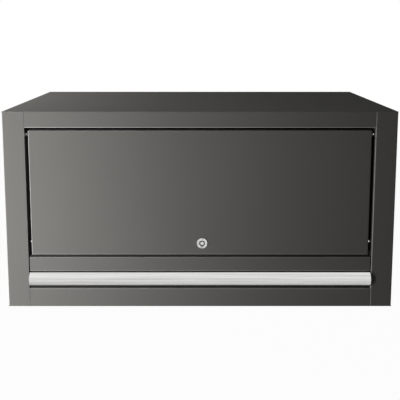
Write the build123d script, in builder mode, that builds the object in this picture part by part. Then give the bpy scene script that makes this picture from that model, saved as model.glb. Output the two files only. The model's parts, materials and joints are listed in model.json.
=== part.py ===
"""Wall-mounted tool cabinet with a flip-up door, in millimetres.

X runs along the width and is zero at the middle, Y runs back and is zero on the wall,
Z runs up and is zero at the middle of the four wall holes.
"""

import os
from math import atan2, cos, hypot, radians, sin, sqrt

from build123d import *

os.makedirs("parts", exist_ok=True)

# Carcass
WIDTH = 680.0
DEPTH = 280.0
HEIGHT = 350.0
SHEET = 1.2
BEND = 2.2
STILE_FACE = 38.0
STILE_DEPTH = 30.0
STILE_LIP = 16.0
TOP_RAIL = 28.0
BOTTOM_RAIL = 33.5
RAIL_DEPTH = 42.0
RAIL_LIP = 12.0
RAIL_SEAM = 0.4
BACK_FLANGE = 22.0
EDGE_ROUND = 0.9

# Wall fixing
WALL_HOLE = 9.0
WALL_HOLES_FROM_SIDE = 100.0
WALL_HOLES_FROM_END = 55.0
HANGING_RAIL_FROM_SIDE = 60.0
HANGING_RAIL_HEIGHT = 44.0
HANGING_RAIL_DEPTH = 12.0
HANGING_RAIL_SHEET = 2.0
HANGING_RAIL_BEND = 2.5

# Door
SIDE_GAP = 6.0
TOP_GAP = 4.5
BOTTOM_GAP = 4.2
DOOR_SHEET = 1.2
PAN_DEPTH = 21.0
INNER_SHEET = 1.0
INNER_EDGE = 0.4
LOCK_WINDOW = (64.0, 46.0)
WINDOW_ROUND = 6.0

# Pull along the bottom of the door
PULL_GAP = 2.0
SEAM_GAP = 4.5
STRIP_HEIGHT = 25.5
SEAT_DEPTH = 7.0
TRIM_HEIGHT = 26.0
TRIM_SEAT_GAP = 1.8
TRIM_WALL = 1.8
TRIM_TOP_PROUD = 1.5
TRIM_MIDDLE_PROUD = 7.5
TRIM_BOTTOM_SUNK = 1.0
TRIM_CROWN_SHARE = 0.6
BACK_TAB = 26.0
STOP_LIP = 14.0

# Door hinge
HINGE_DEPTH = 6.0
HINGE_BELOW_RAIL = 12.0
HINGE_PIN = 4.0
HINGE_CLEARANCE = 0.05
BUSH_OUTER = 7.0
BUSH_COLLAR = 8.5
COLLAR_THICK = 2.0
WASHER_THICK = 1.6
PIN_HEAD = 8.0
PIN_HEAD_THICK = 1.5
PIN_REACH = 8.0
HINGE_PLATE = (24.0, 46.0, 3.0)
PLATE_ROUND = 3.0

# Gas struts
STUD_ABOVE_PANEL_EDGE = 72.6
STRUT_CLOSED_ANGLE = 70.0
STRUT_PLANE = 18.0
STUD_DEPTH = 36.0
CYLINDER = 15.0
CYLINDER_WALL = 1.2
CYLINDER_END = 2.0
STRUT_ROD = 6.0
ROD_SHOWN_CLOSED = 6.3
PISTON_END_GAP = 3.3
PISTON_LENGTH = 5.0
GLAND_LENGTH = 9.0
PISTON_CLEARANCE = 0.3
GLAND_CLEARANCE = 0.08
SOCKET = 14.0
SOCKET_WIDTH = 13.0
SOCKET_REACH = 10.0
SOCKET_SHANK = 10.0
BALL = 10.0
BALL_CLEARANCE = 0.3
SOCKET_MOUTH = 8.6
STUD_NECK = 6.0
STUD_FLANGE = 11.0
STUD_FLANGE_THICK = 1.2
BRACKET_SHEET = 2.0
BRACKET_FOOT = 16.0
BRACKET_WEB = 34.0
BRACKET_HEIGHT = 44.0
BRACKET_BEND = 2.5
BRACKET_CLEAR = 4.3
DOOR_BRACKET_FOOT = 26.0
DOOR_BRACKET_INSET = 2.0

# Lock
LOCK_ABOVE_PANEL_EDGE = 21.5
LOCK_X = 3.6
BEZEL = 19.0
BEZEL_PROUD = 2.2
BARREL = 16.0
BARREL_LENGTH = 10.0
PLUG = 12.0
PLUG_CLEARANCE = 0.1
PLUG_SUNK = 0.3
BEZEL_ROUND = 1.2
KEYWAY_OUTER = 10.2
KEYWAY_INNER = 6.4
KEYWAY_DEPTH = 6.0
KEY_NOTCH = 2.0
NUT_FLATS = 22.0
NUT_THICK = 3.5
TAIL = 5.0
CAM_LENGTH = 32.0
CAM_WIDTH = 11.0
CAM_THICK = 2.5
CAM_BEHIND_PLATE = 0.5
CAM_SCREW_HEAD = 9.0
CAM_SCREW_THICK = 3.0
SCREW_KEY = 4.4
SCREW_KEY_DEPTH = 2.0
CRANK = 12.0
CRANK_REST_ANGLE = 45.0
DRIVE_PIN = 4.0
SLOT_CLEARANCE = 0.6

# Lock rods
ROD = 5.0
ROD_DEPTH = 8.5
ROD_TIP_OUT = 3.0
ROD_INNER_END = 16.0
ROD_HOLE_CLEARANCE = 0.5
DRIVE_PLATE_THICK = 2.5
DRIVE_PLATE_SUNK = 0.4
DRIVE_PLATE_LOW = 3.8
DRIVE_PLATE_HIGH = 18.0
DRIVE_PLATE_EDGE = 4.0
DRIVE_PLATE_TAIL = 14.0
GUIDE_BORE_CLEARANCE = 0.1
GUIDE_NEAR_LOCK = 62.0
GUIDE_FROM_EDGE = 28.0
GUIDE_SIZE = (12.0, 16.0)
GUIDE_WALL = 2.0
GUIDE_ROUND = 1.5
STRIKE = (20.0, 34.0, 1.5)
STRIKE_CLEARANCE = 1.5

# Door stop
STOP_ANGLE_WIDTH = 60.0
STOP_ANGLE_HEIGHT = 22.0
STOP_ANGLE_SHEET = 1.5
STOP_FROM_STILE = 62.0
BUMPER = 12.0
BUMPER_GAP = 0.3
BUMPER_THICK = 4.5
BUMPER_ABOVE_TRIM_EDGE = 8.0
STOP_INSET = 1.0
STOP_BEND = 2.0

# Rivets
RIVET_HEAD = 6.4
RIVET_HEAD_THICK = 1.0
RIVET_SHANK = 3.2
RIVET_ROW_SIDE = 5

# Places worked out from the sizes above
HALF = WIDTH / 2
FRONT = -DEPTH
BOTTOM = -HEIGHT / 2
TOP = HEIGHT / 2
OPENING_HALF = HALF - STILE_FACE
RAIL_HALF = OPENING_HALF - RAIL_SEAM
PANEL_HALF = OPENING_HALF - SIDE_GAP
PULL_HALF = OPENING_HALF - PULL_GAP
PANEL_TOP = TOP - TOP_RAIL - TOP_GAP
TRIM_BOTTOM = BOTTOM + BOTTOM_RAIL + BOTTOM_GAP
TRIM_TOP = TRIM_BOTTOM + TRIM_HEIGHT
STRIP_BOTTOM = TRIM_TOP + TRIM_SEAT_GAP
PULL_TOP = STRIP_BOTTOM + STRIP_HEIGHT
PANEL_BOTTOM = PULL_TOP + SEAM_GAP
PANEL_HEIGHT = PANEL_TOP - PANEL_BOTTOM
DOOR_BACK = FRONT + PAN_DEPTH + INNER_SHEET
HINGE_Y = FRONT + HINGE_DEPTH
HINGE_Z = TOP - TOP_RAIL - HINGE_BELOW_RAIL
LOCK_Z = PANEL_BOTTOM + LOCK_ABOVE_PANEL_EDGE
ROD_Y = FRONT + ROD_DEPTH
STRUT_X = OPENING_HALF - STRUT_PLANE
WALL_HOLES_X = WIDTH - 2 * WALL_HOLES_FROM_SIDE
WALL_HOLES_Z = HEIGHT - 2 * WALL_HOLES_FROM_END
STOP_X = OPENING_HALF - STOP_FROM_STILE
SIDES = {"left": -1, "right": 1}
lock_centre = Plane(origin=(LOCK_X, FRONT, LOCK_Z), x_dir=(1, 0, 0), z_dir=(0, 1, 0))


def at_depth(depth):
    """Plane seen from the front, a depth behind the cabinet's front face."""
    return Plane.XZ.offset(DEPTH - depth)


def outward(side, x, y, z):
    """Plane at a point on one side whose normal points to that side's outside."""
    return Plane(origin=(side * x, y, z), x_dir=(0, 1, 0), z_dir=(side, 0, 0))


def inward_from_wall(x, z):
    """Plane on the wall whose normal points into the cabinet."""
    return Plane(origin=(x, 0, z), z_dir=(0, -1, 0))


def folded_sheet(points, thickness, side, bend=BEND):
    """Sketch of a bent sheet from the line of its outer face."""
    with BuildLine() as outline:
        FilletPolyline(*points, radius=bend)
        offset(amount=thickness, side=side)
    make_face(outline.edges())


def turned(plane, steps):
    """Round steps (diameter, start, end) along a plane's normal."""
    for diameter, start, end in steps:
        with BuildSketch(plane.offset(start)) as section:
            Circle(diameter / 2)
        extrude(section.sketch, amount=end - start)


def drilled(plane, diameter, start, end):
    """Round hole along a plane's normal."""
    with BuildSketch(plane.offset(start)) as section:
        Circle(diameter / 2)
    extrude(section.sketch, amount=end - start, mode=Mode.SUBTRACT)


def strike_slot(side, x, thickness):
    """Square hole that a lock rod's tip slides into."""
    slot = ROD + 2 * STRIKE_CLEARANCE
    with BuildSketch(outward(side, x, ROD_Y, LOCK_Z)) as opening:
        RectangleRounded(slot, slot, STRIKE_CLEARANCE)
    extrude(opening.sketch, amount=thickness, mode=Mode.SUBTRACT)


def save(built, name):
    """Label a finished piece and write it."""
    built.part.label = name
    export_step(built.part, f"parts/{name}.step")


# Places of the rivets that hold the back panel to the side panels
rivet_side_x = HALF - BACK_FLANGE / 2
rivet_row_z = TOP - TOP_RAIL / 2
side_pitch = 2 * rivet_row_z / (RIVET_ROW_SIDE - 1)
rivet_places = [
    (side * rivet_side_x, -rivet_row_z + i * side_pitch)
    for side in SIDES.values()
    for i in range(RIVET_ROW_SIDE)
]

# Side panels, each folded round into the box stile at the front
stile_return_outer = OPENING_HALF + SHEET
for name, side in SIDES.items():
    with BuildPart() as side_panel:
        with BuildSketch(Plane.XY.offset(BOTTOM + SHEET)):
            folded_sheet(
                [
                    (side * (OPENING_HALF + STILE_LIP), FRONT + STILE_DEPTH),
                    (side * OPENING_HALF, FRONT + STILE_DEPTH),
                    (side * OPENING_HALF, FRONT),
                    (side * HALF, FRONT),
                    (side * HALF, -SHEET),
                    (side * (HALF - BACK_FLANGE), -SHEET),
                ],
                SHEET,
                Side.RIGHT if side < 0 else Side.LEFT,
            )
        extrude(amount=HEIGHT - 2 * SHEET)
        drilled(outward(side, OPENING_HALF, HINGE_Y, HINGE_Z), HINGE_PIN, -1, SHEET + 1)
        strike_slot(side, OPENING_HALF, SHEET)
        for x, z in rivet_places:
            if x * side > 0:
                drilled(inward_from_wall(x, z), RIVET_SHANK, SHEET - 1, 2 * SHEET + 1)
    save(side_panel, f"{name}_side_panel")

# Top panel over the whole width, with its front rail folded down between the stiles
with BuildPart() as top_panel:
    with BuildSketch(Plane.XY.offset(TOP - SHEET)):
        with Locations((0, (FRONT - SHEET) / 2)):
            Rectangle(WIDTH, DEPTH - SHEET)
    extrude(amount=SHEET)
    with BuildSketch(Plane.YZ):
        folded_sheet(
            [
                (FRONT + DEPTH / 2, TOP),
                (FRONT, TOP),
                (FRONT, TOP - TOP_RAIL),
                (FRONT + RAIL_DEPTH, TOP - TOP_RAIL),
                (FRONT + RAIL_DEPTH, TOP - TOP_RAIL + RAIL_LIP),
            ],
            SHEET,
            Side.LEFT,
        )
    extrude(amount=RAIL_HALF, both=True)
    fillet(top_panel.edges().filter_by(Axis.X).group_by(Axis.Z)[-1].sort_by(Axis.Y)[0], EDGE_ROUND)
save(top_panel, "top_panel")

# Bottom panel, with its front rail folded up between the stiles
with BuildPart() as bottom_panel:
    with BuildSketch(Plane.XY.offset(BOTTOM)):
        with Locations((0, (FRONT - SHEET) / 2)):
            Rectangle(WIDTH, DEPTH - SHEET)
    extrude(amount=SHEET)
    with BuildSketch(Plane.YZ):
        folded_sheet(
            [
                (FRONT + DEPTH / 2, BOTTOM),
                (FRONT, BOTTOM),
                (FRONT, BOTTOM + BOTTOM_RAIL),
                (FRONT + RAIL_DEPTH, BOTTOM + BOTTOM_RAIL),
                (FRONT + RAIL_DEPTH, BOTTOM + BOTTOM_RAIL - RAIL_LIP),
            ],
            SHEET,
            Side.RIGHT,
        )
    extrude(amount=RAIL_HALF, both=True)
    fillet(bottom_panel.edges().filter_by(Axis.X).group_by(Axis.Z)[0].sort_by(Axis.Y)[0], EDGE_ROUND)
save(bottom_panel, "bottom_panel")

# Back panel, outermost at the rear, with the wall holes
with BuildPart() as back_panel:
    with BuildSketch(Plane.XZ):
        Rectangle(WIDTH, HEIGHT)
    extrude(amount=SHEET)
    with BuildSketch(Plane.XZ):
        with GridLocations(WALL_HOLES_X, WALL_HOLES_Z, 2, 2):
            Circle(WALL_HOLE / 2)
        with Locations(*rivet_places):
            Circle(RIVET_SHANK / 2)
    extrude(amount=SHEET, mode=Mode.SUBTRACT)
save(back_panel, "back_panel")

with BuildPart() as back_rivets:
    for x, z in rivet_places:
        head_end = 2 * SHEET + RIVET_HEAD_THICK
        turned(inward_from_wall(x, z), [(RIVET_SHANK, 0, 2 * SHEET), (RIVET_HEAD, 2 * SHEET, head_end)])
save(back_rivets, "back_rivets")

# Hanging rails that spread the wall bolts' pull along the back
for name, level in {"upper": WALL_HOLES_Z / 2, "lower": -WALL_HOLES_Z / 2}.items():
    with BuildPart() as hanging_rail:
        low = level - HANGING_RAIL_HEIGHT / 2
        high = level + HANGING_RAIL_HEIGHT / 2
        with BuildSketch(Plane.YZ):
            folded_sheet(
                [
                    (-SHEET - HANGING_RAIL_DEPTH, low),
                    (-SHEET, low),
                    (-SHEET, high),
                    (-SHEET - HANGING_RAIL_DEPTH, high),
                ],
                HANGING_RAIL_SHEET,
                Side.LEFT,
                HANGING_RAIL_BEND,
            )
        extrude(amount=HALF - HANGING_RAIL_FROM_SIDE, both=True)
        with BuildSketch(Plane.XZ.offset(SHEET)):
            with Locations((-WALL_HOLES_X / 2, level), (WALL_HOLES_X / 2, level)):
                Circle(WALL_HOLE / 2)
        extrude(amount=HANGING_RAIL_SHEET, mode=Mode.SUBTRACT)
    save(hanging_rail, f"{name}_hanging_rail")

# Hinge plates inside the stiles, with the pins that the door turns on
plate_depth, plate_height, plate_thick = HINGE_PLATE
plate_y = FRONT + SHEET + plate_depth / 2 + BEND
for name, side in SIDES.items():
    with BuildPart() as hinge_plate:
        with BuildSketch(outward(side, stile_return_outer, plate_y, HINGE_Z)):
            RectangleRounded(plate_depth, plate_height, PLATE_ROUND)
        extrude(amount=plate_thick)
        drilled(outward(side, stile_return_outer, HINGE_Y, HINGE_Z), HINGE_PIN, 0, plate_thick)
    save(hinge_plate, f"{name}_hinge_plate")

    with BuildPart() as hinge_pin:
        head_start = SHEET + plate_thick
        turned(
            outward(side, OPENING_HALF, HINGE_Y, HINGE_Z),
            [
                (HINGE_PIN, -SIDE_GAP - PIN_REACH, head_start),
                (PIN_HEAD, head_start, head_start + PIN_HEAD_THICK),
            ],
        )
    save(hinge_pin, f"{name}_hinge_pin")

# Door skin, a pan with its edges turned back
with BuildPart() as door_panel:
    with BuildSketch(at_depth(0)):
        with Locations((0, PANEL_BOTTOM + PANEL_HEIGHT / 2)):
            Rectangle(2 * PANEL_HALF, PANEL_HEIGHT)
    extrude(amount=-PAN_DEPTH)
    fillet(door_panel.faces().sort_by(Axis.Y)[0].edges(), BEND)
    offset(amount=-DOOR_SHEET, openings=door_panel.faces().sort_by(Axis.Y)[-1])
    rod_hole = ROD + 2 * ROD_HOLE_CLEARANCE
    for side in SIDES.values():
        drilled(outward(side, PANEL_HALF, HINGE_Y, HINGE_Z), BUSH_OUTER, -DOOR_SHEET - 1, 1)
        drilled(outward(side, PANEL_HALF, ROD_Y, LOCK_Z), rod_hole, -DOOR_SHEET - 1, 1)
    drilled(lock_centre, BARREL, -1, DOOR_SHEET + 1)
save(door_panel, "door_panel")

# Inner panel that closes the pan, with a window at the lock
inner_width = 2 * (PANEL_HALF - INNER_EDGE)
inner_height = PANEL_HEIGHT - 2 * INNER_EDGE
panel_middle = PANEL_BOTTOM + PANEL_HEIGHT / 2
with BuildPart() as door_inner_panel:
    with BuildSketch(at_depth(PAN_DEPTH)):
        with Locations((0, panel_middle)):
            Rectangle(inner_width, inner_height)
        with Locations((LOCK_X, LOCK_Z)):
            RectangleRounded(*LOCK_WINDOW, WINDOW_ROUND, mode=Mode.SUBTRACT)
    extrude(amount=-INNER_SHEET)
save(door_inner_panel, "door_inner_panel")

pin_bore = HINGE_PIN + 2 * HINGE_CLEARANCE
with BuildPart() as hinge_bushes:
    for side in SIDES.values():
        centre = outward(side, PANEL_HALF, HINGE_Y, HINGE_Z)
        turned(centre, [(BUSH_OUTER, -PIN_REACH, 0), (BUSH_COLLAR, 0, COLLAR_THICK)])
        drilled(centre, pin_bore, -PIN_REACH, COLLAR_THICK)
save(hinge_bushes, "hinge_bushes")

with BuildPart() as hinge_washers:
    for side in SIDES.values():
        centre = outward(side, OPENING_HALF, HINGE_Y, HINGE_Z)
        turned(centre, [(BUSH_COLLAR, -WASHER_THICK, 0)])
        drilled(centre, pin_bore, -WASHER_THICK, 0)
save(hinge_washers, "hinge_washers")

# Pull carrier, one bent sheet: back tab, painted strip, seat of the trim, stop lip
carrier_back = DOOR_BACK + SHEET
with BuildPart() as pull_carrier:
    with BuildSketch(Plane.YZ):
        folded_sheet(
            [
                (DOOR_BACK, PULL_TOP + BACK_TAB),
                (DOOR_BACK, PULL_TOP),
                (FRONT, PULL_TOP),
                (FRONT, STRIP_BOTTOM),
                (FRONT + SEAT_DEPTH, STRIP_BOTTOM),
                (FRONT + SEAT_DEPTH, TRIM_BOTTOM),
                (carrier_back, TRIM_BOTTOM),
                (carrier_back, TRIM_BOTTOM + STOP_LIP),
            ],
            SHEET,
            Side.LEFT,
        )
    extrude(amount=PULL_HALF, both=True)
save(pull_carrier, "pull_carrier")

# Brushed trim, a hollow extrusion with a convex face
trim_back = FRONT + SEAT_DEPTH
trim_crown = TRIM_BOTTOM + TRIM_CROWN_SHARE * TRIM_HEIGHT
with BuildPart() as pull_trim:
    with BuildSketch(Plane.YZ) as trim_section:
        with BuildLine():
            Polyline(
                (FRONT + TRIM_BOTTOM_SUNK, TRIM_BOTTOM),
                (trim_back, TRIM_BOTTOM),
                (trim_back, TRIM_TOP),
                (FRONT - TRIM_TOP_PROUD, TRIM_TOP),
            )
            ThreePointArc(
                (FRONT - TRIM_TOP_PROUD, TRIM_TOP),
                (FRONT - TRIM_MIDDLE_PROUD, trim_crown),
                (FRONT + TRIM_BOTTOM_SUNK, TRIM_BOTTOM),
            )
        make_face()
        offset(amount=-TRIM_WALL, mode=Mode.SUBTRACT)
        with Locations(((trim_back + FRONT - TRIM_TOP_PROUD) / 2, trim_crown)):
            Rectangle(trim_back - FRONT + TRIM_TOP_PROUD, TRIM_WALL)
    extrude(amount=PULL_HALF, both=True)
save(pull_trim, "pull_trim")

# Lock
with BuildPart() as lock_housing:
    turned(lock_centre, [(BEZEL, -BEZEL_PROUD, 0), (BARREL, 0, BARREL_LENGTH)])
    fillet(lock_housing.edges().filter_by(GeomType.CIRCLE).group_by(Axis.Y)[0], BEZEL_ROUND)
    drilled(lock_centre, PLUG + 2 * PLUG_CLEARANCE, -BEZEL_PROUD, BARREL_LENGTH)
save(lock_housing, "lock_housing")

with BuildPart() as lock_nut:
    with BuildSketch(lock_centre.offset(DOOR_SHEET)):
        RegularPolygon(NUT_FLATS / 2, 6, major_radius=False)
        Circle(BARREL / 2, mode=Mode.SUBTRACT)
    extrude(amount=NUT_THICK)
save(lock_nut, "lock_nut")

# Cam behind the rods' drive plates, its two pins reaching forward into their slots
drive_plate_front = ROD_DEPTH + ROD / 2 - DRIVE_PLATE_SUNK
drive_plate_back = drive_plate_front + DRIVE_PLATE_THICK
cam_front = drive_plate_back + CAM_BEHIND_PLATE
cam_back = cam_front + CAM_THICK
crank_x = CRANK * sin(radians(CRANK_REST_ANGLE))
crank_z = CRANK * cos(radians(CRANK_REST_ANGLE))
with BuildPart() as lock_plug:
    plug_end = BARREL_LENGTH + PLUG_SUNK
    turned(lock_centre, [(PLUG, PLUG_SUNK - BEZEL_PROUD, plug_end)])
    with BuildSketch(lock_centre.offset(PLUG_SUNK - BEZEL_PROUD)):
        Circle(KEYWAY_OUTER / 2)
        Circle(KEYWAY_INNER / 2, mode=Mode.SUBTRACT)
        with Locations((0, PLUG / 2 - KEY_NOTCH / 2)):
            Rectangle(KEY_NOTCH, KEY_NOTCH)
    extrude(amount=KEYWAY_DEPTH, mode=Mode.SUBTRACT)
    with BuildSketch(lock_centre.offset(plug_end)):
        Rectangle(TAIL, TAIL)
    extrude(amount=cam_back - plug_end)
save(lock_plug, "lock_plug")

with BuildPart() as lock_cam:
    cam_centre = (LOCK_X, FRONT + cam_front, LOCK_Z)
    with BuildSketch(Plane(origin=cam_centre, x_dir=(-crank_x, 0, crank_z), z_dir=(0, 1, 0))):
        SlotOverall(CAM_LENGTH, CAM_WIDTH)
    extrude(amount=CAM_THICK)
    with BuildSketch(at_depth(cam_front)):
        with Locations((LOCK_X, LOCK_Z)):
            Rectangle(TAIL, TAIL)
    extrude(amount=-CAM_THICK, mode=Mode.SUBTRACT)
    with BuildSketch(at_depth(cam_front)):
        with Locations((LOCK_X - crank_x, LOCK_Z + crank_z), (LOCK_X + crank_x, LOCK_Z - crank_z)):
            Circle(DRIVE_PIN / 2)
    extrude(amount=DRIVE_PLATE_THICK)
save(lock_cam, "lock_cam")

with BuildPart() as cam_screw:
    turned(lock_centre, [(CAM_SCREW_HEAD, cam_back, cam_back + CAM_SCREW_THICK)])
    with BuildSketch(lock_centre.offset(cam_back + CAM_SCREW_THICK)):
        RegularPolygon(SCREW_KEY / 2, 6)
    extrude(amount=-SCREW_KEY_DEPTH, mode=Mode.SUBTRACT)
save(cam_screw, "cam_screw")

# Lock rods, each with a slotted drive plate that one cam pin moves sideways
slot_width = DRIVE_PIN + 2 * SLOT_CLEARANCE
slot_low = crank_z - DRIVE_PIN / 2 - SLOT_CLEARANCE
slot_high = CRANK + DRIVE_PIN / 2 + SLOT_CLEARANCE
for name, side in SIDES.items():
    with BuildPart() as lock_rod:
        turned(
            outward(side, PANEL_HALF, ROD_Y, LOCK_Z),
            [(ROD, ROD_INNER_END + side * LOCK_X - PANEL_HALF, ROD_TIP_OUT)],
        )
        with BuildSketch(at_depth(drive_plate_front)):
            plate_left = -crank_x - slot_width / 2 - DRIVE_PLATE_EDGE
            plate_right = ROD_INNER_END + DRIVE_PLATE_TAIL
            arm_right = -crank_x + slot_width / 2 + DRIVE_PLATE_EDGE
            with BuildLine():
                Polyline(
                    *[
                        (LOCK_X + side * x, LOCK_Z + side * z)
                        for x, z in (
                            (plate_left, DRIVE_PLATE_LOW),
                            (plate_left, DRIVE_PLATE_HIGH),
                            (arm_right, DRIVE_PLATE_HIGH),
                            (plate_right, ROD),
                            (plate_right, -ROD / 2),
                            (ROD_INNER_END, -ROD / 2),
                            (ROD_INNER_END, DRIVE_PLATE_LOW),
                        )
                    ],
                    close=True,
                )
            make_face()
            slot_middle = (LOCK_X - side * crank_x, LOCK_Z + side * (slot_low + slot_high) / 2)
            with Locations(slot_middle):
                SlotOverall(slot_high - slot_low, slot_width, rotation=90, mode=Mode.SUBTRACT)
        extrude(amount=-DRIVE_PLATE_THICK)
    save(lock_rod, f"{name}_lock_rod")

with BuildPart() as rod_guides:
    guide_width, guide_height = GUIDE_SIZE
    guide_depth = ROD_DEPTH + ROD / 2 + GUIDE_WALL
    for side in SIDES.values():
        for place in (GUIDE_NEAR_LOCK + side * LOCK_X, PANEL_HALF - GUIDE_FROM_EDGE):
            with BuildSketch(at_depth(DOOR_SHEET)):
                with Locations((side * place, LOCK_Z)):
                    RectangleRounded(guide_width, guide_height, GUIDE_ROUND)
            extrude(amount=-(guide_depth - DOOR_SHEET))
            bore = ROD + 2 * GUIDE_BORE_CLEARANCE
            drilled(outward(side, place, ROD_Y, LOCK_Z), bore, -guide_width, guide_width)
save(rod_guides, "rod_guides")

strike_depth, strike_height, strike_thick = STRIKE
for name, side in SIDES.items():
    with BuildPart() as strike_plate:
        strike_y = FRONT + SHEET + BEND + strike_depth / 2
        with BuildSketch(outward(side, stile_return_outer, strike_y, LOCK_Z)):
            RectangleRounded(strike_depth, strike_height, PLATE_ROUND)
        extrude(amount=strike_thick)
        strike_slot(side, stile_return_outer, strike_thick)
    save(strike_plate, f"{name}_strike_plate")

# Gas struts: both studs are the same distance from the hinge, so that a strut turns half
# as far as the door and its rod stays in line with its cylinder
stud_behind_hinge = STUD_DEPTH - HINGE_DEPTH
stud_below_hinge = HINGE_Z - PANEL_BOTTOM - STUD_ABOVE_PANEL_EDGE
strut_arm = hypot(stud_behind_hinge, stud_below_hinge)
door_stud_angle = atan2(stud_behind_hinge, stud_below_hinge)
carcass_stud_angle = door_stud_angle + radians(STRUT_CLOSED_ANGLE)
door_stud = (HINGE_Y + stud_behind_hinge, HINGE_Z - stud_below_hinge)
carcass_stud = (
    HINGE_Y + strut_arm * sin(carcass_stud_angle),
    HINGE_Z - strut_arm * cos(carcass_stud_angle),
)
closed_length = 2 * strut_arm * sin(radians(STRUT_CLOSED_ANGLE / 2))
strut_dir = (0, door_stud[0] - carcass_stud[0], door_stud[1] - carcass_stud[1])
cylinder_length = closed_length - 2 * SOCKET_REACH - ROD_SHOWN_CLOSED
rod_length = closed_length - SOCKET_REACH - CYLINDER_END - PISTON_END_GAP


def socket_end(side, stud, along, reach):
    """Ball socket round a stud, with its shank towards the strut."""
    stud_plane = outward(side, STRUT_X, *stud)
    turned(stud_plane, [(SOCKET, -SOCKET_WIDTH / 2, SOCKET_WIDTH / 2)])
    with BuildSketch(along) as shank:
        Circle(SOCKET_SHANK / 2)
    extrude(shank.sketch, amount=reach)
    with Locations((side * STRUT_X, *stud)):
        Sphere(BALL / 2 + BALL_CLEARANCE, rotation=(0, 90, 0), mode=Mode.SUBTRACT)
    drilled(stud_plane, SOCKET_MOUTH, 0, SOCKET_WIDTH)


def ball_stud(side, stud, face, flange):
    """Ball on a neck, with a flange against its bracket at a distance from the ball."""
    neck_start = sqrt((BALL / 2) ** 2 - (STUD_NECK / 2) ** 2)
    section_plane = Plane(
        origin=(side * STRUT_X, *stud), x_dir=(side, 0, 0), z_dir=(0, 0, side)
    )
    with BuildSketch(section_plane) as section:
        with BuildLine() as outline:
            ThreePointArc((-BALL / 2, 0), (0, BALL / 2), (neck_start, STUD_NECK / 2))
            Polyline(
                (neck_start, STUD_NECK / 2),
                (face - flange, STUD_NECK / 2),
                (face - flange, STUD_FLANGE / 2),
                (face, STUD_FLANGE / 2),
                (face, 0),
                (-BALL / 2, 0),
            )
        make_face(outline.edges())
    stud_axis = Axis((side * STRUT_X, *stud), (side, 0, 0))
    revolve(section.sketch, axis=stud_axis)


for name, side in SIDES.items():
    from_carcass = Plane(origin=(side * STRUT_X, *carcass_stud), z_dir=strut_dir)
    from_door = Plane(
        origin=(side * STRUT_X, *door_stud), z_dir=tuple(-part for part in strut_dir)
    )
    with BuildPart() as cylinder_socket:
        socket_end(side, carcass_stud, from_carcass, SOCKET_REACH)
    save(cylinder_socket, f"{name}_cylinder_socket")

    tube_end = SOCKET_REACH + cylinder_length
    with BuildPart() as strut_cylinder:
        turned(from_carcass, [(CYLINDER, SOCKET_REACH, tube_end)])
        bore = CYLINDER - 2 * CYLINDER_WALL
        drilled(from_carcass, bore, SOCKET_REACH + CYLINDER_END, tube_end - GLAND_LENGTH)
        drilled(from_carcass, STRUT_ROD + 2 * GLAND_CLEARANCE, tube_end - GLAND_LENGTH, tube_end)
    save(strut_cylinder, f"{name}_strut_cylinder")

    piston = bore - 2 * PISTON_CLEARANCE
    with BuildPart() as strut_rod:
        turned(
            from_door,
            [
                (STRUT_ROD, SOCKET_REACH, rod_length),
                (piston, rod_length - PISTON_LENGTH, rod_length),
            ],
        )
    save(strut_rod, f"{name}_strut_rod")

    with BuildPart() as rod_socket:
        socket_end(side, door_stud, from_door, SOCKET_REACH)
    save(rod_socket, f"{name}_rod_socket")

# Strut brackets: a hat section on each side panel and an angle on the door's inner panel
bracket_top = STRUT_X + SOCKET_WIDTH / 2 + BRACKET_CLEAR
carcass_wall = HALF - SHEET
for name, side in SIDES.items():
    with BuildPart() as strut_bracket:
        stud_y, stud_z = carcass_stud
        with BuildSketch(Plane.XY.offset(stud_z - BRACKET_HEIGHT / 2)):
            folded_sheet(
                [
                    (side * carcass_wall, stud_y - BRACKET_WEB / 2 - BRACKET_FOOT),
                    (side * carcass_wall, stud_y - BRACKET_WEB / 2),
                    (side * (bracket_top + BRACKET_SHEET), stud_y - BRACKET_WEB / 2),
                    (side * (bracket_top + BRACKET_SHEET), stud_y + BRACKET_WEB / 2),
                    (side * carcass_wall, stud_y + BRACKET_WEB / 2),
                    (side * carcass_wall, stud_y + BRACKET_WEB / 2 + BRACKET_FOOT),
                ],
                BRACKET_SHEET,
                Side.LEFT if side > 0 else Side.RIGHT,
                BRACKET_BEND,
            )
        extrude(amount=BRACKET_HEIGHT)
    save(strut_bracket, f"{name}_strut_bracket")

with BuildPart() as carcass_ball_studs:
    for side in SIDES.values():
        face = bracket_top - STRUT_X
        ball_stud(side, carcass_stud, face, STUD_FLANGE_THICK)
save(carcass_ball_studs, "carcass_ball_studs")

door_bracket_face = PANEL_HALF - DOOR_BRACKET_INSET
with BuildPart() as door_strut_brackets:
    for side in SIDES.values():
        stud_y, stud_z = door_stud
        with BuildSketch(Plane.XY.offset(stud_z - BRACKET_HEIGHT / 2)):
            folded_sheet(
                [
                    (side * (door_bracket_face - DOOR_BRACKET_FOOT), DOOR_BACK),
                    (side * door_bracket_face, DOOR_BACK),
                    (side * door_bracket_face, stud_y + STUD_FLANGE / 2 + 2),
                ],
                BRACKET_SHEET,
                Side.LEFT if side > 0 else Side.RIGHT,
                BRACKET_BEND,
            )
        extrude(amount=BRACKET_HEIGHT)
save(door_strut_brackets, "door_strut_brackets")

with BuildPart() as door_ball_studs:
    for side in SIDES.values():
        face = door_bracket_face - BRACKET_SHEET - STRUT_X
        ball_stud(side, door_stud, face, STUD_FLANGE_THICK)
save(door_ball_studs, "door_ball_studs")

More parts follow.
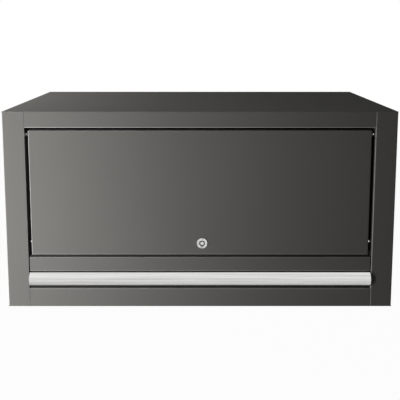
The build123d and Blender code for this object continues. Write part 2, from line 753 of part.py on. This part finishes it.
# Door stop: two angles on the bottom rail with rubber bumpers
bumper_front = carrier_back + BUMPER_GAP
stop_front = bumper_front + BUMPER_THICK
stop_base = BOTTOM + BOTTOM_RAIL
bumper_z = TRIM_BOTTOM + BUMPER_ABOVE_TRIM_EDGE
with BuildPart() as door_stops:
    for side in SIDES.values():
        with BuildSketch(Plane.YZ.offset(side * STOP_X)):
            folded_sheet(
                [
                    (stop_front, stop_base + STOP_ANGLE_HEIGHT),
                    (stop_front, stop_base),
                    (FRONT + RAIL_DEPTH - STOP_INSET, stop_base),
                ],
                STOP_ANGLE_SHEET,
                Side.LEFT,
                STOP_BEND,
            )
        extrude(amount=STOP_ANGLE_WIDTH / 2, both=True)
save(door_stops, "door_stops")

with BuildPart() as door_bumpers:
    for side in SIDES.values():
        centre = Plane(origin=(side * STOP_X, bumper_front, bumper_z), z_dir=(0, 1, 0))
        turned(centre, [(BUMPER, 0, stop_front - bumper_front)])
save(door_bumpers, "door_bumpers")
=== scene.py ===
"""Looks of the wall-mounted tool cabinet: its finishes, light and camera."""

import json
from math import radians

import bpy
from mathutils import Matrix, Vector


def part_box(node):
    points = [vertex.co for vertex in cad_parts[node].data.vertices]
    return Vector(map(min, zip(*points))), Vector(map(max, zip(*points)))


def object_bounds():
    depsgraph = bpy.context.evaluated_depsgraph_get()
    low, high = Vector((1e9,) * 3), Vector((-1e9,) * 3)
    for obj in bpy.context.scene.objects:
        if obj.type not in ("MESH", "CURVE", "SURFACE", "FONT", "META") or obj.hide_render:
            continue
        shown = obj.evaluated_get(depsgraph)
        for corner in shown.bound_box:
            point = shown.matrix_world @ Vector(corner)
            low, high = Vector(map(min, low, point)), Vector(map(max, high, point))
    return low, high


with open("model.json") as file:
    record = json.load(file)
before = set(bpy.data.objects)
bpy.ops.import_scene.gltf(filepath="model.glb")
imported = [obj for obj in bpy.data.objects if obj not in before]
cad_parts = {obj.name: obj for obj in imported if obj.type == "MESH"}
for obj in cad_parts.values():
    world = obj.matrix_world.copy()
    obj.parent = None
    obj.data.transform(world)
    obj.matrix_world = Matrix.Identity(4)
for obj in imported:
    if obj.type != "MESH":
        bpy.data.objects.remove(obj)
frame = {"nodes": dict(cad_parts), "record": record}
cad_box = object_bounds()
nodes = frame["nodes"]

# Camera, from the photograph's framing
PHOTO_SIDE = 400
SENSOR = 36.0
FOCAL_PIXELS = 496.5
LENS_DROP = -0.30
CAMERA_TILT = 5.66
CAMERA_ABOVE_TOP = 0.1378
CAMERA_FROM_FRONT = 0.8394
NEAREST_SEEN = 0.01

# Places of the cabinet, in metres
LOW, HIGH = (Vector(corner) for corner in cad_box)
FRONT_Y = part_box("left_side_panel")[0].y
TOP_Z = HIGH.z
PLUG_FACE_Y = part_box("lock_plug")[0].y

# White surround and the floor below it
WHITE = (1, 1, 1, 1)
AMBIENT = 0.065
SURROUND_SEEN = 1.0
FLOOR_BELOW = 1.15
FLOOR_REACH = 6
FLOOR_PAINT = (0.9, 0.9, 0.9, 1)
FLOOR_GLOW_SHARE = 0.97

# Soft boxes: a tall narrow one before the left of the front gives the photograph's
# fall of light to the right, one above lights the top, one behind lights the right side
KEY_LEFT = -0.46
KEY_BEFORE_FRONT = 0.48
KEY_HEIGHT = -0.02
KEY_SIZE = (0.14, 0.85)
KEY_WATTS = 8.9
TOP_LEFT = -0.62
TOP_LIGHT_ABOVE = 0.5
TOP_SIZE = (0.25, 0.25)
TOP_WATTS = 5.0
REAR_PLACE = (1.0, 0.75, -0.12)
REAR_AIM = (0.25, -0.1, -0.05)
REAR_SIZE = (0.8, 0.5)
REAR_WATTS = 14.0

# Where noise takes on its dark and its light shade
DARK_AT = 0.25
LIGHT_AT = 0.75
# How far a surface has turned from the nearest flat side where it starts to count as
# a bend, and where it fully does
BEND_STARTS = 0.05
BEND_FULL = 0.22
# How deep in the keyway the painted shade on the chrome starts and where it is fully dark
KEYWAY_SHADE_STARTS = 0.0001
KEYWAY_SHADE_FULL = 0.0004


class Value:
    """A node's output that can stand in a sum or a product."""

    def __init__(self, nodes_of, socket):
        self.nodes_of = nodes_of
        self.socket = socket

    def _maths(self, operation, first, second):
        settings = {"operation": operation}
        return self.nodes_of.node("ShaderNodeMath", settings, {0: first, 1: second})

    def __add__(self, other):
        return self._maths("ADD", self, other)

    __radd__ = __add__

    def __sub__(self, other):
        return self._maths("SUBTRACT", self, other)

    def __rsub__(self, other):
        return self._maths("SUBTRACT", other, self)

    def __mul__(self, other):
        return self._maths("MULTIPLY", self, other)

    __rmul__ = __mul__

    def size(self):
        """The value without its sign."""
        return self._maths("ABSOLUTE", self, 0)

    def or_else(self, other):
        """The larger of two masks."""
        return self._maths("MAXIMUM", self, other)


class NodeTree:
    """The nodes of one material or world."""

    def __init__(self, holder):
        holder.use_nodes = True
        self.tree = holder.node_tree

    def node(self, kind, settings=None, inputs=None, output=0):
        """Adds a node with its settings, then the values or links of its sockets."""
        made = self.tree.nodes.new(kind)
        for name, setting in (settings or {}).items():
            if name == "stops":
                ramp = made.color_ramp.elements
                for place, (position, colour) in enumerate(setting):
                    stop = ramp[place] if place < len(ramp) else ramp.new(position)
                    stop.position = position
                    stop.color = (*colour, 1)
            else:
                setattr(made, name, setting)
        for name, value in (inputs or {}).items():
            self.feed(made.inputs[name], value)
        return Value(self, made.outputs[output])

    def feed(self, socket, value):
        """Links a value to a socket, or sets the socket where the value is a number."""
        if isinstance(value, Value):
            self.tree.links.new(value.socket, socket)
        else:
            socket.default_value = value

    def ray(self, kind):
        """Mask that is 1 for one kind of ray, such as Is Camera Ray."""
        return self.node("ShaderNodeLightPath", output=kind)


class Finish(NodeTree):
    """A surface finish built from nodes round one shader."""

    def __init__(self, name):
        self.material = bpy.data.materials.new(name)
        super().__init__(self.material)
        self.shader = self.tree.nodes["Principled BSDF"]

    def surface(self, **inputs):
        """Sets the shader's sockets, named with underscores for spaces."""
        for name, value in inputs.items():
            self.feed(self.shader.inputs[name.replace("_", " ")], value)

    def place(self, stretch=(1, 1, 1)):
        """The point on the object, in metres, stretched along each axis."""
        point = self.node("ShaderNodeTexCoord", output="Object")
        return self.node("ShaderNodeMapping", {}, {"Vector": point, "Scale": stretch})

    def grain(self, scale, detail=2.0, stretch=(1, 1, 1), roughness=0.5):
        """Cloudy variation from 0 to 1, at so many clouds a metre."""
        sizes = {"Vector": self.place(stretch), "Scale": scale, "Detail": detail}
        return self.node("ShaderNodeTexNoise", {}, {**sizes, "Roughness": roughness})

    def shades(self, mask, dark, light):
        """Colour between two shades, by a mask from 0 to 1."""
        stops = [(DARK_AT, dark), (LIGHT_AT, light)]
        return self.node("ShaderNodeValToRGB", {"stops": stops}, {0: mask})

    def mix(self, share, first, second):
        """Colour that goes from the first to the second."""
        settings = {"data_type": "RGBA"}
        inputs = {0: share, 6: first, 7: second}
        return self.node("ShaderNodeMix", settings, inputs, 2)

    def ramp(self, value, starts, full):
        """Mask that goes from 0 to 1 between two levels of a value."""
        inputs = {"Value": value, "From Min": starts, "From Max": full}
        return self.node("ShaderNodeMapRange", {}, inputs)

    def facing(self, axis):
        """How far the surface faces along one axis of its object, from -1 to 1."""
        normal = self.node("ShaderNodeTexCoord", output="Normal")
        return self.node("ShaderNodeSeparateXYZ", {}, {0: normal}, axis)

    def bends(self):
        """Mask that is 1 where the surface turns from one flat side to the next."""
        x, y, z = (self.facing(axis).size() for axis in range(3))
        return self.ramp(1 - x.or_else(y).or_else(z), BEND_STARTS, BEND_FULL)

    def relief(self, height, depth, strength):
        """Normal of a surface with that height map, whose full depth is in metres."""
        sizes = {"Height": height, "Distance": depth, "Strength": strength}
        return self.node("ShaderNodeBump", {}, sizes)


def powder_coat():
    """Dark warm-grey powder coat with faint orange peel, and painted highlights on its
    bends.

    Bends that face down or left are painted pale as a painted highlight; those that face up
    or right stay close to the plain paint colour.
    """
    finish = Finish("powder_coat")
    peel = finish.grain(620, 1.0)
    cloud = finish.grain(5, 2.0)
    paint = finish.shades(cloud, (0.098, 0.095, 0.090), (0.104, 0.101, 0.096))
    # Painted highlight: a bend gets more pale paint the more it faces down or left, where
    # light would catch it
    highlight_share = 0.5 - 0.4 * finish.facing(2) - 0.35 * finish.facing(0)
    plain_bend_paint = (0.09, 0.088, 0.085, 1)
    bend_highlight_paint = (0.50, 0.49, 0.475, 1)
    bend = finish.mix(highlight_share, plain_bend_paint, bend_highlight_paint)
    finish.surface(
        Base_Color=finish.mix(finish.bends(), paint, bend),
        Roughness=0.55 + 0.08 * peel,
        Normal=finish.relief(peel, 0.00003, 0.35),
        Specular_IOR_Level=0.0,
        Coat_Weight=0.045,
        Coat_Roughness=0.32,
    )
    return finish.material


def brushed_trim():
    """Aluminium brushed along its length, in fine lines, some lighter than others, and
    painted lighter on top.
    """
    finish = Finish("brushed_trim")
    fine = finish.grain(1.0, 3.0, stretch=(9, 2600, 2600), roughness=0.6)
    wide = finish.grain(1.0, 2.0, stretch=(2.2, 420, 420))
    lines = 0.6 * fine + 0.4 * wide
    # Painted light: the colour is raised where the trim faces up and lowered where it faces
    # down
    lines_and_top_light = lines + 0.08 * finish.facing(2)
    finish.surface(
        Base_Color=finish.shades(lines_and_top_light, (0.36, 0.36, 0.35), (0.94, 0.94, 0.93)),
        Metallic=1.0,
        Roughness=0.20 + 0.14 * lines,
        Normal=finish.relief(lines, 0.00002, 0.4),
    )
    return finish.material


def polished_chrome(name, dark, light):
    """Chrome plate with the clouding of handling, between two shades."""
    finish = Finish(name)
    cloud = finish.grain(260, 2.0)
    finish.surface(
        Base_Color=finish.shades(cloud, dark, light),
        Metallic=1.0,
        Roughness=0.08 + 0.08 * cloud,
    )
    return finish.material


def plug_chrome():
    """Chrome of the lock's plug, painted near black down in its keyway as painted shade."""
    finish = Finish("plug_chrome")
    cloud = finish.grain(260, 2.0)
    depth = finish.node("ShaderNodeSeparateXYZ", {}, {0: finish.place()}, 1)
    # Painted shade: the keyway's inside is coloured near black, less metallic and rougher,
    # as if in shadow
    keyway_shade = finish.ramp(depth, PLUG_FACE_Y + KEYWAY_SHADE_STARTS, PLUG_FACE_Y + KEYWAY_SHADE_FULL)
    chrome = finish.shades(cloud, (0.50, 0.50, 0.49), (0.90, 0.90, 0.89))
    keyway_shade_colour = (0.006, 0.006, 0.006, 1)
    finish.surface(
        Base_Color=finish.mix(keyway_shade, chrome, keyway_shade_colour),
        Metallic=1 - 0.9 * keyway_shade,
        Roughness=0.10 + 0.06 * cloud + 0.5 * keyway_shade,
    )
    return finish.material


def zinc_plate():
    """Bright zinc plate with its soft mottle."""
    finish = Finish("zinc_plate")
    mottle = finish.grain(95, 3.0)
    finish.surface(
        Base_Color=finish.shades(mottle, (0.42, 0.42, 0.40), (0.56, 0.56, 0.55)),
        Metallic=1.0,
        Roughness=0.34 + 0.14 * mottle,
        Normal=finish.relief(finish.grain(900, 1.0), 0.00001, 0.3),
    )
    return finish.material


def ground_steel():
    """Turned and ground steel of the pins and rods, dulled by its oil."""
    finish = Finish("ground_steel")
    rings = finish.grain(1.0, 2.0, stretch=(1600, 60, 60))
    finish.surface(
        Base_Color=finish.shades(rings, (0.66, 0.66, 0.65), (0.78, 0.78, 0.77)),
        Metallic=1.0,
        Roughness=0.16 + 0.14 * rings,
    )
    return finish.material


def satin_black():
    """Black paint of the strut's cylinder."""
    finish = Finish("satin_black")
    peel = finish.grain(1400, 1.0)
    cloud = finish.grain(30)
    finish.surface(
        Base_Color=finish.shades(cloud, (0.018, 0.018, 0.018), (0.026, 0.026, 0.026)),
        Roughness=0.34 + 0.1 * peel,
        Normal=finish.relief(peel, 0.00001, 0.3),
    )
    return finish.material


def moulded(name, dark, light, rough):
    """Black plastic or rubber with its fine spark texture, between two grey levels."""
    finish = Finish(name)
    spark = finish.grain(2600, 1.0)
    finish.surface(
        Base_Color=finish.shades(finish.grain(120, 2.0), (dark,) * 3, (light,) * 3),
        Roughness=rough + 0.1 * spark,
        Normal=finish.relief(spark, 0.00002, 0.4),
    )
    return finish.material


finishes = {
    "body_paint": powder_coat(),
    "brushed_trim": brushed_trim(),
    "lock_chrome": polished_chrome("lock_chrome", (0.36, 0.36, 0.35), (0.86, 0.86, 0.85)),
    "pin_steel": ground_steel(),
    "zinc_steel": zinc_plate(),
    "strut_black": satin_black(),
    "strut_chrome": polished_chrome("strut_chrome", (0.70, 0.70, 0.70), (0.80, 0.80, 0.80)),
    "strut_plastic": moulded("strut_plastic", 0.020, 0.030, rough=0.5),
    "nylon": moulded("nylon", 0.024, 0.034, rough=0.45),
    "bumper_rubber": moulded("bumper_rubber", 0.014, 0.022, rough=0.7),
}
subparts = frame["record"]["subparts"]
finish_of = {part["node"]: finishes[part["material_slot"]] for part in subparts}
finish_of["lock_plug"] = plug_chrome()
for name, material in finish_of.items():
    skin = nodes[name].data
    skin.materials.clear()
    skin.materials.append(material)


def seen_rays(tree):
    """Mask that is 1 for what the camera sees, straight or in a shiny or clear surface."""
    mirrored = tree.ray("Is Glossy Ray").or_else(tree.ray("Is Transmission Ray"))
    return tree.ray("Is Camera Ray").or_else(mirrored)


def white_surround():
    """World that is seen and mirrored as white, and gives a little plain grey light."""
    world = bpy.data.worlds.new("surround")
    bpy.context.scene.world = world
    surround = NodeTree(world)
    light, seen = (
        surround.node("ShaderNodeBackground", {}, {"Color": WHITE, "Strength": strength})
        for strength in (AMBIENT, SURROUND_SEEN)
    )
    inputs = {0: seen_rays(surround), 1: light, 2: seen}
    both = surround.node("ShaderNodeMixShader", {}, inputs)
    surround.feed(surround.tree.nodes["World Output"].inputs["Surface"], both)


def pale_floor():
    """Pale studio floor, well below a cabinet that hangs on a wall."""
    level = LOW.z - FLOOR_BELOW
    ends = ((-1, -1), (1, -1), (1, 1), (-1, 1))
    corners = [(x * FLOOR_REACH, y * FLOOR_REACH, level) for x, y in ends]
    mesh = bpy.data.meshes.new("studio_floor")
    mesh.from_pydata(corners, [], [(0, 1, 2, 3)])
    floor = bpy.data.objects.new("studio_floor", mesh)
    bpy.context.scene.collection.objects.link(floor)
    paint = Finish("studio_floor")
    paint.surface(Base_Color=FLOOR_PAINT, Roughness=0.9)
    glow = paint.node("ShaderNodeEmission", {}, {"Color": WHITE, "Strength": 1.0})
    lit = Value(paint, paint.shader.outputs[0])
    seen = FLOOR_GLOW_SHARE * seen_rays(paint)
    both = paint.node("ShaderNodeMixShader", {}, {0: seen, 1: lit, 2: glow})
    paint.feed(paint.tree.nodes["Material Output"].inputs["Surface"], both)
    mesh.materials.append(paint.material)


def soft_light(name, place, aim, size, watts, mirrored=True):
    """Soft box at a place, aimed at a point, which shiny surfaces may mirror or not."""
    lamp = bpy.data.lights.new(name, "AREA")
    lamp.shape = "RECTANGLE"
    lamp.size, lamp.size_y = size
    lamp.energy = watts
    holder = bpy.data.objects.new(name, lamp)
    holder.location = place
    direction = Vector(aim) - Vector(place)
    holder.rotation_euler = direction.to_track_quat("-Z", "Y").to_euler()
    holder.visible_glossy = mirrored
    holder.visible_camera = False
    bpy.context.scene.collection.objects.link(holder)


def studio_lights():
    """The three soft boxes round the cabinet."""
    before = FRONT_Y - KEY_BEFORE_FRONT
    middle = FRONT_Y / 2
    key_place = (KEY_LEFT, before, KEY_HEIGHT)
    key_aim = (KEY_LEFT, FRONT_Y, KEY_HEIGHT)
    top_place = (TOP_LEFT, middle, TOP_Z + TOP_LIGHT_ABOVE)
    top_aim = (TOP_LEFT, middle, TOP_Z)
    soft_light("left_box", key_place, key_aim, KEY_SIZE, KEY_WATTS, mirrored=False)
    soft_light("top_box", top_place, top_aim, TOP_SIZE, TOP_WATTS)
    soft_light("right_rear_box", REAR_PLACE, REAR_AIM, REAR_SIZE, REAR_WATTS)


def photo_camera():
    """Camera at the photograph's view: above the top, tilted a little, lens dropped."""
    lens = bpy.data.cameras.new("photo_camera")
    lens.sensor_width = SENSOR
    lens.lens = FOCAL_PIXELS / PHOTO_SIDE * SENSOR
    lens.shift_y = LENS_DROP
    lens.clip_start = NEAREST_SEEN
    camera = bpy.data.objects.new("photo_camera", lens)
    camera.location = (0, FRONT_Y - CAMERA_FROM_FRONT, TOP_Z + CAMERA_ABOVE_TOP)
    camera.rotation_euler = (radians(90 - CAMERA_TILT), 0, 0)
    bpy.context.scene.collection.objects.link(camera)
    bpy.context.scene.camera = camera


white_surround()
pale_floor()
studio_lights()
photo_camera()
bpy.context.scene.view_settings.view_transform = "Standard"
